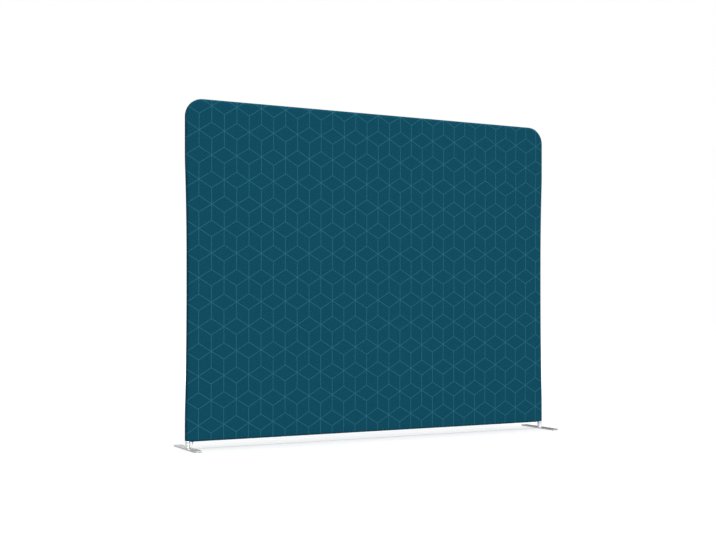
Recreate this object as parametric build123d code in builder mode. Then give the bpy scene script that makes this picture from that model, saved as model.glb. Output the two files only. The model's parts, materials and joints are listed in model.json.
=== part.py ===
from build123d import *

import os
from math import atan, degrees, sin

# A free-standing divider screen: a zipped fabric cover pulled over a plug-together tube frame on two
# flat feet, with felt boards inside to take up sound. Millimetres, Z up, front towards -Y, origin on
# the floor under the middle of the screen.

# The screen over its cover
panel_width = 2500.0
panel_height = 2000.0
panel_corner_radius = 106.0
panel_floor_gap = 42.0
side_bow = 10.0

# Tube frame
tube_radius = 15.0
tube_wall = 1.5
coupler_gap = 0.2
coupler_length = 150.0
corner_leg = 90.0
cope_gap = 0.3
upright_foot_z = 40.0
bottom_rail_z = 60.0
middle_joint_z = 1000.0
middle_straight = 160.0
bow_start_z = 160.0
bow_top_z = 1680.0
bow_blend = 60.0
tee_half_width = 35.0
tee_branch = 40.0
spigot_length = 70.0
rail_stub_length = 65.0

# Fastenings of the frame
fastening_offset = 35.0
stub_button_offset = 24.0
button_radius = 3.2
button_hole_radius = 3.4
button_proud = 2.0
button_chamfer = 1.2
spring_width = 6.0
spring_thickness = 0.6
spring_length = 28.4
spring_gap = 0.3
rivet_radius = 2.0
rivet_hole_radius = 2.1
rivet_head_radius = 4.0
rivet_head_height = 1.1
rivet_tail_radius = 2.75
rivet_tail_length = 2.4

# Cover and boards
cover_thickness = 0.8
cover_gap = 0.2
hem_start_x = 1215.0
hem_rise = 6.5
board_thickness = 24.0
board_gap = 0.5
board_pocket_radius = 8.0
board_pocket_depth = 5.0

# Zip under the bottom edge
zip_slot_half_width = 4.0
zip_slot_end_x = 1213.0
tape_half_width = 3.8
tape_thickness = 0.7
tape_bottom_z = 41.9
tape_open_end_x = 1214.0
tape_closed_end_x = 1206.0
parting_half_width = 1.3
coil_end_x = 1203.0
coil_half_width = 1.9
coil_height = 0.8
slider_left_x = -1210.5
slider_length = 12.0
slider_plate = 1.0
slider_outer_width = 8.8
slider_inner_width = 6.8
slider_clearance = 0.3
wedge_half_width = 1.0
lip_length = 7.0
lip_thickness = 0.5
lip_height = 0.7
stop_length = 1.8
stop_height = 1.6
lug_radius = 1.3
lug_spacing = 5.2
lug_thickness = 0.8
bridge_drop = 2.4
bridge_radius = 0.8
eye_radius = 1.8
eye_width = 3.8
pull_width = 6.0
pull_length = 13.0
pull_thickness = 1.2
pull_hole_radius = 1.2

# Feet
foot_length = 350.0
foot_width = 50.0
foot_thickness = 5.0
foot_corner_radius = 5.0
foot_chamfer = 0.6
pad_height = 3.0
pad_radius = 7.0
pad_inset = 11.0
post_radius = 15.0
spigot_radius = 11.42
spigot_top_z = 143.0
spigot_chamfer = 2.0
bush_bore_radius = 11.5
bush_radius = 13.49
bush_top_z = 140.0
bush_flange = 2.0
screw_radius = 4.0
screw_head_radius = 8.0
screw_clearance_radius = 4.2
screw_top_z = 28.0
screw_key_size = 5.0
screw_key_depth = 2.5

# Sizes that follow from those above
bore_radius = tube_radius - tube_wall
coupler_radius = bore_radius - coupler_gap
coupler_bore_radius = coupler_radius - tube_wall
cover_inner_radius = tube_radius + cover_gap
cover_radius = cover_inner_radius + cover_thickness
upright_x = panel_width / 2 - cover_radius
top_rail_z = panel_height - cover_radius
cover_roll_z = panel_floor_gap + cover_radius
bend_radius = panel_corner_radius - cover_radius
bend_x = upright_x - bend_radius
bend_z = top_rail_z - bend_radius
upright_top_z = bend_z - corner_leg
corner_end_x = bend_x - corner_leg

left_and_right = ((-1, "left"), (1, "right"))
os.makedirs("parts", exist_ok=True)


def save(node, name):
    """Labels a finished piece and writes it."""
    node.part.label = name
    export_step(node.part, f"parts/{name}.step")


def bow_arcs(start, turn, rises):
    """Draws two arcs that step a tube sideways by side_bow and leave it upright again."""
    angle = 2 * atan(side_bow / sum(rises))
    leaving = JernArc(start, (0, 1), rises[0] / sin(angle), turn * degrees(angle))
    return JernArc(leaving @ 1, leaving % 1, rises[1] / sin(angle), -turn * degrees(angle))


def lower_side_line(side, start_z):
    """Draws a side of the frame from near the floor up to the joint at mid-height."""
    foot = Line((side * upright_x, start_z), (side * upright_x, bow_start_z))
    rise = middle_joint_z - middle_straight / 2 - bow_start_z
    bow = bow_arcs(foot @ 1, side, (bow_blend, rise - bow_blend))
    Line(bow @ 1, (side * (upright_x - side_bow), middle_joint_z))


def upper_side_line(side):
    """Draws a side of the frame from the joint at mid-height up to the corner tube."""
    straight_top = middle_joint_z + middle_straight / 2
    inner_x = side * (upright_x - side_bow)
    middle = Line((inner_x, middle_joint_z), (inner_x, straight_top))
    rise = bow_top_z - straight_top
    bow = bow_arcs(middle @ 1, -side, (rise - bow_blend, bow_blend))
    Line(bow @ 1, (side * upright_x, upright_top_z))


def corner_line(side):
    """Draws a top corner, from the upright's top to the end of the bend."""
    leg = Line((side * upright_x, upright_top_z), (side * upright_x, bend_z))
    JernArc(leg @ 1, (0, 1), bend_radius, side * 90)


def station(x, z, along, out):
    """A place on a tube's centre line: local X runs along the tube, and local Z points out of its wall."""
    return Plane(origin=(x, 0, z), x_dir=(along[0], 0, along[1]), z_dir=(out[0], 0, out[1]))


def ring(outer_radius, inner_radius):
    """Draws a tube's section."""
    Circle(outer_radius)
    Circle(inner_radius, mode=Mode.SUBTRACT)


def outer_half(radius):
    """Draws the half of a disc that faces out of the frame, as the cover's rim has."""
    Circle(radius)
    with Locations((-radius, 0)):
        Rectangle(2 * radius, 2 * radius, mode=Mode.SUBTRACT)


def drill(stations, radius):
    """Cuts a round hole through one wall of a tube at each station."""
    depth = 2 * (tube_radius - coupler_bore_radius)
    with Locations(*[place.offset(tube_radius - depth) for place in stations]):
        Cylinder(radius, 2 * depth, align=(Align.CENTER, Align.CENTER, Align.MIN), mode=Mode.SUBTRACT)


# Where each snap button and each rivet sits, and which way it points: always into the frame's bays,
# so that nothing presses on the cover. The spring's legs run along local X.
up, down = (0, 1), (0, -1)
buttons = {}
rivets = {}
for side, word in left_and_right:
    inward, outward = (-side, 0), (side, 0)
    bowed_x = side * (upright_x - side_bow)
    button_x = side * (upright_x - tube_radius - stub_button_offset)
    buttons[f"{word}_upright_top"] = station(
        side * upright_x, upright_top_z - fastening_offset, up, inward
    )
    buttons[f"{word}_upright_middle"] = station(
        bowed_x, middle_joint_z + fastening_offset, down, inward
    )
    buttons[f"{word}_top_corner"] = station(
        side * (corner_end_x - fastening_offset), top_rail_z, outward, down
    )
    buttons[f"{word}_top_tee"] = station(
        side * (tee_half_width + fastening_offset), top_rail_z, inward, down
    )
    buttons[f"{word}_bottom_tee"] = station(
        side * (tee_half_width + fastening_offset), bottom_rail_z, inward, up
    )
    buttons[f"{word}_bottom_corner"] = station(button_x, bottom_rail_z, inward, up)
    rivets[f"{word}_upright_top"] = station(
        side * upright_x, upright_top_z + fastening_offset, up, inward
    )
    rivets[f"{word}_top_corner"] = station(
        side * (corner_end_x + fastening_offset), top_rail_z, outward, down
    )
    rivets[f"{word}_upright_middle"] = station(
        bowed_x, middle_joint_z - fastening_offset, down, inward
    )
to_right = (1, 0)
stile_top_z = top_rail_z - tee_branch
stile_bottom_z = bottom_rail_z + tee_branch
buttons["stile_top"] = station(0, stile_top_z - fastening_offset, up, to_right)
buttons["stile_middle"] = station(0, middle_joint_z + fastening_offset, down, to_right)
buttons["stile_bottom"] = station(0, stile_bottom_z + fastening_offset, down, to_right)
rivets["stile_middle"] = station(0, middle_joint_z - fastening_offset, down, to_right)


# Uprights: each is two lengths of tube, joined at mid-height
for side, word in left_and_right:
    with BuildPart() as lower_upright:
        with BuildLine(Plane.XZ) as lower_path:
            lower_side_line(side, upright_foot_z)
        with BuildSketch(Plane((side * upright_x, 0, upright_foot_z))):
            ring(tube_radius, bore_radius)
        sweep(path=lower_path.wire())
        drill([rivets[f"{word}_upright_middle"]], rivet_hole_radius)
    save(lower_upright, f"{word}_lower_upright")

    with BuildPart() as upper_upright:
        with BuildLine(Plane.XZ) as upper_path:
            upper_side_line(side)
        with BuildSketch(Plane((side * (upright_x - side_bow), 0, middle_joint_z))):
            ring(tube_radius, bore_radius)
        sweep(path=upper_path.wire())
        drill([buttons[f"{word}_upright_middle"], buttons[f"{word}_upright_top"]], button_hole_radius)
    save(upper_upright, f"{word}_upper_upright")

# Top corners: one bent tube each, with a coupler riveted into both ends
for side, word in left_and_right:
    corner_rivets = [rivets[f"{word}_upright_top"], rivets[f"{word}_top_corner"]]
    corner_buttons = [buttons[f"{word}_upright_top"], buttons[f"{word}_top_corner"]]
    with BuildPart() as corner_tube:
        with BuildLine(Plane.XZ) as corner_path:
            corner_line(side)
            Line((side * bend_x, top_rail_z), (side * corner_end_x, top_rail_z))
        with BuildSketch(Plane((side * upright_x, 0, upright_top_z))):
            ring(tube_radius, bore_radius)
        sweep(path=corner_path.wire())
        drill(corner_rivets, rivet_hole_radius)
    save(corner_tube, f"top_{word}_corner_tube")

    with BuildPart() as corner_couplers:
        with BuildSketch(Plane((side * upright_x, 0, upright_top_z - coupler_length / 2))):
            ring(coupler_radius, coupler_bore_radius)
        extrude(amount=coupler_length)
        inner_end = (side * (corner_end_x - coupler_length / 2), 0, top_rail_z)
        with BuildSketch(Plane(inner_end, z_dir=(side, 0, 0))):
            ring(coupler_radius, coupler_bore_radius)
        extrude(amount=coupler_length)
        drill(corner_rivets, rivet_hole_radius)
        drill(corner_buttons, button_hole_radius)
    save(corner_couplers, f"top_{word}_corner_couplers")

# Couplers at mid-height
for x, word in (
    (-(upright_x - side_bow), "left_upright"),
    (upright_x - side_bow, "right_upright"),
    (0, "stile"),
):
    with BuildPart() as middle_coupler:
        with BuildSketch(Plane((x, 0, middle_joint_z - coupler_length / 2))):
            ring(coupler_radius, coupler_bore_radius)
        extrude(amount=coupler_length)
        drill([rivets[f"{word}_middle"]], rivet_hole_radius)
        drill([buttons[f"{word}_middle"]], button_hole_radius)
    save(middle_coupler, f"{word}_coupler")

# Rails: the bottom ones are hollowed at their outer ends to fit round the uprights
for side, word in left_and_right:
    with BuildPart() as top_rail:
        with BuildSketch(Plane((side * tee_half_width, 0, top_rail_z), z_dir=(side, 0, 0))):
            ring(tube_radius, bore_radius)
        extrude(amount=corner_end_x - tee_half_width)
        drill([buttons[f"{word}_top_tee"], buttons[f"{word}_top_corner"]], button_hole_radius)
    save(top_rail, f"top_{word}_rail")

    with BuildPart() as bottom_rail:
        with BuildSketch(Plane((side * tee_half_width, 0, bottom_rail_z), z_dir=(side, 0, 0))):
            ring(tube_radius, bore_radius)
        extrude(amount=upright_x - tee_half_width)
        with BuildSketch(Plane((side * upright_x, 0, 0))):
            Circle(tube_radius + cope_gap)
        extrude(amount=2 * bottom_rail_z, mode=Mode.SUBTRACT)
        drill([buttons[f"{word}_bottom_tee"], buttons[f"{word}_bottom_corner"]], button_hole_radius)
    save(bottom_rail, f"bottom_{word}_rail")

    with BuildPart() as rail_stub:
        stub_end_x = side * (upright_x - tube_radius - rail_stub_length)
        with BuildSketch(Plane((stub_end_x, 0, bottom_rail_z), z_dir=(side, 0, 0))):
            ring(coupler_radius, coupler_bore_radius)
        extrude(amount=rail_stub_length + tube_radius)
        with BuildSketch(Plane((side * upright_x, 0, 0))):
            Circle(tube_radius)
        extrude(amount=2 * bottom_rail_z, mode=Mode.SUBTRACT)
        drill([buttons[f"{word}_bottom_corner"]], button_hole_radius)
    save(rail_stub, f"{word}_rail_stub")

# Centre stile
with BuildPart() as lower_stile:
    with BuildSketch(Plane((0, 0, stile_bottom_z))):
        ring(tube_radius, bore_radius)
    extrude(amount=middle_joint_z - stile_bottom_z)
    drill([rivets["stile_middle"]], rivet_hole_radius)
    drill([buttons["stile_bottom"]], button_hole_radius)
save(lower_stile, "lower_centre_stile")

with BuildPart() as upper_stile:
    with BuildSketch(Plane((0, 0, middle_joint_z))):
        ring(tube_radius, bore_radius)
    extrude(amount=stile_top_z - middle_joint_z)
    drill([buttons["stile_middle"], buttons["stile_top"]], button_hole_radius)
save(upper_stile, "upper_centre_stile")

# Tees: three collars the size of the tube, a thinner spigot out of each, and bores that meet inside
for word, tee_z, branch in (("top", top_rail_z, -1), ("bottom", bottom_rail_z, 1)):
    with BuildPart() as tee:
        for radius, reach in ((tube_radius, 0), (coupler_radius, spigot_length)):
            with BuildSketch(Plane((0, 0, tee_z), z_dir=(1, 0, 0))):
                Circle(radius)
            extrude(amount=tee_half_width + reach, both=True)
            with BuildSketch(Plane((0, 0, tee_z), z_dir=(0, 0, branch))):
                Circle(radius)
            extrude(amount=tee_branch + reach)
        with BuildSketch(Plane((0, 0, tee_z), z_dir=(1, 0, 0))):
            Circle(coupler_bore_radius)
        extrude(amount=2 * tee_half_width + spigot_length, both=True, mode=Mode.SUBTRACT)
        with BuildSketch(Plane((0, 0, tee_z), z_dir=(0, 0, branch))):
            Circle(coupler_bore_radius)
        extrude(amount=2 * tee_branch + spigot_length, mode=Mode.SUBTRACT)
        tee_buttons = [buttons[f"left_{word}_tee"], buttons[f"right_{word}_tee"], buttons[f"stile_{word}"]]
        drill(tee_buttons, button_hole_radius)
    save(tee, f"{word}_tee")

# Snap buttons: a pin on one leaf of a hairpin spring, whose other leaf lies along the far wall
leaf_wall = (coupler_bore_radius**2 - (spring_width / 2) ** 2) ** 0.5
pin_leaf_top = leaf_wall - spring_gap
for word, place in buttons.items():
    with BuildPart() as snap_button:
        with BuildSketch(place.offset(pin_leaf_top - spring_thickness)):
            with Locations(((spring_length - spring_gap - button_radius) / 2, 0)):
                Rectangle(spring_length - spring_gap + button_radius, spring_width)
        extrude(amount=spring_thickness)
        with BuildSketch(place.offset(pin_leaf_top)):
            Circle(button_radius)
        extrude(amount=tube_radius + button_proud - pin_leaf_top)
        pin_end = snap_button.faces().sort_by(Axis(place.origin, place.z_dir))[-1]
        chamfer(pin_end.edges(), button_chamfer)
    save(snap_button, f"{word}_button")

with BuildPart() as spring_legs:
    hairpin_radius = (leaf_wall + pin_leaf_top) / 2
    hairpin_y = (pin_leaf_top - leaf_wall) / 2
    for place in buttons.values():
        side_view = Plane(place.origin, x_dir=place.x_dir, z_dir=place.x_dir.cross(place.z_dir))
        with BuildSketch(side_view):
            with Locations((spring_length, hairpin_y)):
                ring(hairpin_radius, hairpin_radius - spring_thickness)
            with Locations((spring_length - hairpin_radius, hairpin_y)):
                Rectangle(2 * hairpin_radius, 3 * hairpin_radius, mode=Mode.SUBTRACT)
            with Locations(((spring_length - button_radius) / 2, spring_thickness / 2 - leaf_wall)):
                Rectangle(spring_length + button_radius, spring_thickness)
        extrude(amount=spring_width / 2, both=True)
save(spring_legs, "snap_spring_legs")

# Blind rivets: a domed head outside, a shank through both walls and a swollen tail inside
tail_top = (coupler_bore_radius**2 - rivet_tail_radius**2) ** 0.5
with BuildPart() as coupler_rivets:
    for place in rivets.values():
        across = Plane(place.origin, x_dir=place.x_dir, z_dir=place.x_dir.cross(place.z_dir))
        with BuildSketch(across):
            with BuildLine():
                Polyline(
                    (0, tail_top - rivet_tail_length),
                    (rivet_tail_radius, tail_top - rivet_tail_length),
                    (rivet_tail_radius, tail_top),
                    (rivet_radius, tail_top),
                    (rivet_radius, tube_radius),
                    (rivet_head_radius, tube_radius),
                    (rivet_radius, tube_radius + rivet_head_height),
                    (0, tube_radius + rivet_head_height),
                    close=True,
                )
            make_face()
        revolve(axis=Axis(place.origin, place.z_dir))
save(coupler_rivets, "coupler_rivets")


def left_outline(bottom_z):
    """Draws the frame's centre lines from the bottom of the left side to the middle of the top."""
    lower_side_line(-1, bottom_z)
    upper_side_line(-1)
    corner_line(-1)
    Line((-bend_x, top_rail_z), (0, top_rail_z))


# Boards: felt fills the bays, its edges hollowed to lie round the tubes, pocketed at each fastening
board_channel_radius = tube_radius + board_gap
with BuildPart() as felt_bay:
    with BuildSketch(Plane.XZ):
        with BuildLine():
            left_outline(bottom_rail_z)
            Polyline((0, top_rail_z), (0, bottom_rail_z), (-upright_x, bottom_rail_z))
        make_face()
    extrude(amount=board_thickness / 2, both=True)
    with BuildLine(Plane.XZ) as board_edge:
        left_outline(bottom_rail_z)
    with BuildSketch(Plane((-upright_x, 0, bottom_rail_z))):
        Circle(board_channel_radius)
    sweep(path=board_edge.wire(), mode=Mode.SUBTRACT)
    with BuildSketch(Plane((-panel_width / 2, 0, bottom_rail_z), z_dir=(1, 0, 0))):
        Circle(board_channel_radius)
    extrude(amount=panel_width / 2, mode=Mode.SUBTRACT)
    with BuildSketch(Plane((0, 0, 0))):
        Circle(board_channel_radius)
    extrude(amount=panel_height, mode=Mode.SUBTRACT)

level_of_joint = Plane((0, 0, middle_joint_z))
fastenings = list(buttons.values()) + list(rivets.values())
for side, word in left_and_right:
    for level, keep, shift in (("upper", Keep.TOP, 1), ("lower", Keep.BOTTOM, -1)):
        with BuildPart() as board:
            add(felt_bay.part if side < 0 else felt_bay.part.mirror(Plane.YZ))
            split(bisect_by=level_of_joint.offset(shift * board_gap), keep=keep)
            for place in fastenings:
                reach = place.origin + place.z_dir * tube_radius
                if reach.X * side > 0 and (reach.Z - middle_joint_z) * shift > 0:
                    with BuildSketch(place.offset(coupler_bore_radius)):
                        Circle(board_pocket_radius)
                    pocket = tube_radius + board_pocket_depth - coupler_bore_radius
                    extrude(amount=pocket, mode=Mode.SUBTRACT)
        save(board, f"{level}_{word}_felt_board")


def cover_volume(radius):
    """The space inside one surface of the cover, which rolls round the frame's centre lines."""
    with BuildPart() as volume:
        with BuildSketch(Plane.XZ):
            with BuildLine():
                left_outline(cover_roll_z)
                Polyline((0, top_rail_z), (0, cover_roll_z), (-upright_x, cover_roll_z))
            make_face()
        extrude(amount=radius, both=True)
        with BuildLine(Plane.XZ) as rim:
            left_outline(cover_roll_z)
        with BuildSketch(Plane((-upright_x, 0, cover_roll_z), x_dir=(-1, 0, 0), z_dir=(0, 0, 1))):
            outer_half(radius)
        sweep(path=rim.wire())
        with BuildSketch(Plane((0, 0, cover_roll_z), x_dir=(0, 0, -1), z_dir=(-1, 0, 0))):
            outer_half(radius)
        extrude(amount=upright_x)
        with BuildSketch(Plane((-upright_x, 0, upright_foot_z - radius))):
            Circle(radius)
        extrude(amount=cover_roll_z - upright_foot_z + radius)
        mirror(about=Plane.YZ)
    return volume.part


# Cover: two halves of one skin, seamed round the sides and top, cut up at the feet and split for the zip
with BuildPart() as cover:
    add(cover_volume(cover_radius))
    add(cover_volume(cover_inner_radius), mode=Mode.SUBTRACT)
    for side, word in left_and_right:
        past_x = panel_width / 2 + cover_radius
        past_rise = hem_rise * (past_x - hem_start_x) / (panel_width / 2 - hem_start_x)
        with BuildSketch(Plane.XZ):
            with BuildLine():
                Polyline(
                    (side * hem_start_x, 0),
                    (side * hem_start_x, panel_floor_gap),
                    (side * past_x, panel_floor_gap + past_rise),
                    (side * past_x, 0),
                    close=True,
                )
            make_face()
        extrude(amount=panel_width, both=True, mode=Mode.SUBTRACT)
    with BuildSketch(Plane.XY):
        Rectangle(2 * zip_slot_end_x, 2 * zip_slot_half_width)
    extrude(amount=bottom_rail_z, mode=Mode.SUBTRACT)

for word, keep in (("front", Keep.TOP), ("back", Keep.BOTTOM)):
    with BuildPart() as cover_half:
        add(cover.part)
        split(bisect_by=Plane.XZ, keep=keep)
    save(cover_half, f"cover_{word}")

# Zip chain: two tapes joined by a double coil, parted at the closed end where the slider stands
tape_top_z = tape_bottom_z + tape_thickness
with BuildPart() as zipper_chain:
    with BuildSketch(Plane.XY.offset(tape_bottom_z)):
        with Locations(((tape_closed_end_x - tape_open_end_x) / 2, 0)):
            Rectangle(tape_open_end_x + tape_closed_end_x, 2 * tape_half_width)
        with Locations((-tape_open_end_x, 0)):
            Rectangle(2 * (tape_open_end_x - coil_end_x), 2 * parting_half_width, mode=Mode.SUBTRACT)
    extrude(amount=tape_thickness)
    with BuildSketch(Plane((-coil_end_x, 0, tape_bottom_z), x_dir=(0, 1, 0), z_dir=(1, 0, 0))):
        for lobe in (-1, 1):
            with BuildLine():
                Polyline(
                    (0, 0),
                    (lobe * coil_half_width / 6, -coil_height),
                    (lobe * coil_half_width * 5 / 6, -coil_height),
                    (lobe * coil_half_width, 0),
                    close=True,
                )
            make_face()
    extrude(amount=2 * coil_end_x)
save(zipper_chain, "zipper_chain")

# End stops: a crimped block on each open tape, and one across both at the far end
left_stop_x = slider_left_x - slider_clearance - stop_length / 2
right_stop_x = coil_end_x + slider_clearance + stop_length / 2
tape_middle_y = (tape_half_width + parting_half_width) / 2
with BuildPart() as zipper_stops:
    with BuildSketch(Plane.XY.offset(tape_bottom_z - stop_height)):
        with Locations((left_stop_x, -tape_middle_y), (left_stop_x, tape_middle_y)):
            Rectangle(stop_length, tape_half_width - parting_half_width)
        with Locations((right_stop_x, 0)):
            Rectangle(stop_length, 2 * tape_middle_y)
    extrude(amount=stop_height)
save(zipper_stops, "zipper_end_stops")

# Slider: two plates joined by the wedge that parts the coil, guide lips, and a bridge for the pull
slider_x = slider_left_x + slider_length / 2
outer_plate_top = tape_bottom_z - coil_height - slider_clearance
inner_plate_bottom = tape_top_z + slider_clearance
bridge_z = outer_plate_top - slider_plate - bridge_drop
bridge_side = Plane((slider_x, 0, bridge_z), x_dir=(1, 0, 0), z_dir=(0, -1, 0))
with BuildPart() as zipper_slider:
    for z, width in (
        (outer_plate_top - slider_plate, slider_outer_width),
        (inner_plate_bottom, slider_inner_width),
    ):
        with BuildSketch(Plane((slider_x, 0, z))):
            RectangleRounded(slider_length, width, slider_length / 6)
        extrude(amount=slider_plate)
    with BuildSketch(Plane((slider_left_x, 0, outer_plate_top))):
        with BuildLine():
            Polyline(
                (slider_plate, 0),
                (slider_length / 4, -wedge_half_width),
                (slider_length / 2, 0),
                (slider_length / 4, wedge_half_width),
                close=True,
            )
        make_face()
    extrude(amount=inner_plate_bottom - outer_plate_top)
    with BuildSketch(Plane((slider_x, 0, outer_plate_top))):
        with GridLocations(0, slider_outer_width - lip_thickness, 1, 2):
            Rectangle(lip_length, lip_thickness)
    extrude(amount=lip_height)
    for lug_y in (-lug_spacing / 2, lug_spacing / 2):
        with BuildSketch(bridge_side.offset(lug_y)):
            Circle(lug_radius)
            with Locations((0, bridge_drop / 2)):
                Rectangle(2 * lug_radius, bridge_drop)
        extrude(amount=lug_thickness / 2, both=True)
    with BuildSketch(bridge_side):
        Circle(bridge_radius)
    extrude(amount=lug_spacing / 2, both=True)
save(zipper_slider, "zipper_slider")

# Pull tab: an eye round the bridge, and a neck that widens into a flat tab below the bridge's lugs
tab_top = -eye_radius - pull_thickness
with BuildPart() as zipper_pull:
    with BuildSketch(bridge_side):
        Circle(eye_radius)
    extrude(amount=eye_width / 2, both=True)
    with BuildSketch(Plane((slider_x, 0, bridge_z), x_dir=(0, 1, 0), z_dir=(1, 0, 0))):
        with Locations((0, tab_top / 2)):
            Rectangle(eye_width, -tab_top + pull_thickness)
        with Locations((0, (tab_top - pull_length) / 2)):
            RectangleRounded(pull_width, pull_length + tab_top, pull_width / 4)
        with Locations((0, pull_width / 2 - pull_length)):
            Circle(pull_hole_radius, mode=Mode.SUBTRACT)
    extrude(amount=pull_thickness / 2, both=True)
    with BuildSketch(bridge_side):
        Circle(bridge_radius + slider_clearance)
    extrude(amount=eye_width, both=True, mode=Mode.SUBTRACT)
save(zipper_pull, "zipper_pull")

# Feet: a flat plate on rubber pads, with a post screwed on from below that turns in a nylon bush
plate_top_z = pad_height + foot_thickness
shoulder_z = upright_foot_z - bush_flange
for side, word in left_and_right:
    foot_x = side * upright_x
    foot_section = Plane((foot_x, 0, 0), x_dir=(1, 0, 0), z_dir=(0, -1, 0))
    foot_axis = Axis((foot_x, 0, 0), (0, 0, 1))

    with BuildPart() as foot_plate:
        with BuildSketch(Plane((foot_x, 0, pad_height))):
            RectangleRounded(foot_width, foot_length, foot_corner_radius)
        extrude(amount=foot_thickness)
        chamfer(foot_plate.faces().sort_by(Axis.Z)[-1].edges(), foot_chamfer)
        with Locations(Plane((foot_x, 0, pad_height), z_dir=(0, 0, -1))):
            CounterSinkHole(screw_clearance_radius, screw_head_radius, counter_sink_angle=90)
    save(foot_plate, f"{word}_foot_plate")

    with BuildPart() as foot_post:
        with BuildSketch(foot_section):
            with BuildLine():
                Polyline(
                    (0, screw_top_z + screw_radius),
                    (screw_radius, screw_top_z + screw_radius / 2),
                    (screw_radius, plate_top_z),
                    (post_radius, plate_top_z),
                    (post_radius, shoulder_z),
                    (spigot_radius, shoulder_z),
                    (spigot_radius, spigot_top_z - spigot_chamfer),
                    (spigot_radius - spigot_chamfer, spigot_top_z),
                    (0, spigot_top_z),
                    close=True,
                )
            make_face()
        revolve(axis=foot_axis)
    save(foot_post, f"{word}_foot_post")

    with BuildPart() as foot_screw:
        with BuildSketch(foot_section):
            with BuildLine():
                Polyline(
                    (0, pad_height),
                    (screw_head_radius, pad_height),
                    (screw_radius, pad_height + screw_head_radius - screw_radius),
                    (screw_radius, screw_top_z),
                    (0, screw_top_z),
                    close=True,
                )
            make_face()
        revolve(axis=foot_axis)
        with BuildSketch(Plane((foot_x, 0, pad_height))):
            RegularPolygon(screw_key_size / 2, 6, major_radius=False)
        extrude(amount=screw_key_depth, mode=Mode.SUBTRACT)
    save(foot_screw, f"{word}_foot_screw")

    with BuildPart() as foot_pads:
        with BuildSketch(Plane((foot_x, 0, 0))):
            with GridLocations(foot_width - 2 * pad_inset, foot_length - 2 * pad_inset, 2, 2):
                Circle(pad_radius)
        extrude(amount=pad_height)
    save(foot_pads, f"{word}_foot_pads")

    with BuildPart() as foot_bush:
        with BuildSketch(foot_section):
            with BuildLine():
                Polyline(
                    (bush_bore_radius, shoulder_z),
                    (tube_radius, shoulder_z),
                    (tube_radius, upright_foot_z),
                    (bush_radius, upright_foot_z),
                    (bush_radius, bush_top_z),
                    (bush_bore_radius, bush_top_z),
                    close=True,
                )
            make_face()
        revolve(axis=foot_axis)
    save(foot_bush, f"{word}_foot_bush")
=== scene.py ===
# %% [markdown]
# # A zipped fabric screen on two flat feet
# This lesson dresses a free-standing divider screen. Its frame, feet, zip slider and snap buttons come
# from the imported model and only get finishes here. What is soft on the real object is modelled anew:
# the knitted cover, the zip's tapes and coil, the sewing, and the felt boards inside.
# Everything is in metres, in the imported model's own frame: Z up, the front towards -Y.

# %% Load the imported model
import json
from math import acos, atan, cos, pi, radians, sin, sqrt

import bmesh
import bpy
from mathutils import Matrix, Vector

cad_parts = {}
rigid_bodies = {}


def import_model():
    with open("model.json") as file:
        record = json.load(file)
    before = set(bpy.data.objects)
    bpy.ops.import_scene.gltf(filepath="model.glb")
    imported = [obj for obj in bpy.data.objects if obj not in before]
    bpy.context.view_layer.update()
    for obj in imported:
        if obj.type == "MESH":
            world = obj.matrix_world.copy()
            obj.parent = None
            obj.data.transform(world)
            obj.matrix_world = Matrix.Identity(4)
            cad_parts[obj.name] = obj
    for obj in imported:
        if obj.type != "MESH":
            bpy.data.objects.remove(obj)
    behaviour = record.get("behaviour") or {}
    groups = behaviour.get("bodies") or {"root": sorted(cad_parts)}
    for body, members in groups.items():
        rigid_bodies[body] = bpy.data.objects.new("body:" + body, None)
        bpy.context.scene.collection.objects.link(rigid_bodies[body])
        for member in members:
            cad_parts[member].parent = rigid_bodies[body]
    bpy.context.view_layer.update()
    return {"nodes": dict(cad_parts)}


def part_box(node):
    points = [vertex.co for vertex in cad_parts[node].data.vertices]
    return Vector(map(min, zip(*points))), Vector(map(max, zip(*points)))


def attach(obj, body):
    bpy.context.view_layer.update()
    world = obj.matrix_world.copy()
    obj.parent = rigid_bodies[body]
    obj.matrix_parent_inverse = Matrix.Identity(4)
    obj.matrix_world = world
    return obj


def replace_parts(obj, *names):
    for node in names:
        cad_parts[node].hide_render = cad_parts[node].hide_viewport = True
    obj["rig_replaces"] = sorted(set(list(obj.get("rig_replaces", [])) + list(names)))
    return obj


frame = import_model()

nodes = frame["nodes"]

# %% [markdown]
# ## Sizes shared by every piece
# The cover is a skin rolled round a tube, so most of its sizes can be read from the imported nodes: the
# roll's radius is how far the front half stands out from the middle plane. Only the bend of the corners
# and the gentle bow of the uprights are given again, because a box doesn't tell them.

# %% Read the sizes
mm = 0.001
cover_low, cover_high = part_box("cover_front")
roll_radius = -cover_low.y
floor_gap = cover_low.z
half_width = cover_high.x
side_x = half_width - roll_radius
top_z = cover_high.z - roll_radius
roll_z = floor_gap + roll_radius
cloth_thickness = 0.8 * mm
tiny = 0.01 * mm  # points closer than this count as one

cover_corner = 106 * mm
corner_bend = cover_corner - roll_radius
bend_x = side_x - corner_bend
bend_z = top_z - corner_bend

side_bow = 10 * mm
bow_start_z = 160 * mm
bow_top_z = 1680 * mm
bow_blend = 60 * mm
middle_z = 1000 * mm
middle_straight = 160 * mm
tube_radius = 15 * mm
print(f"screen {2 * half_width:.3f} m wide, {cover_high.z:.3f} m high")
print(f"rolled at {roll_radius / mm:.1f} mm")

# %% [markdown]
# ## The bow of the sides
# The uprights of such a frame are bent inwards a little between their ends, because the stretched cover
# would pull straight ones in anyway. Each half is two arcs that meet without a kink, and the cover, the
# boards and everything that is sewn on follow the same line, so it is one function.

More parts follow.
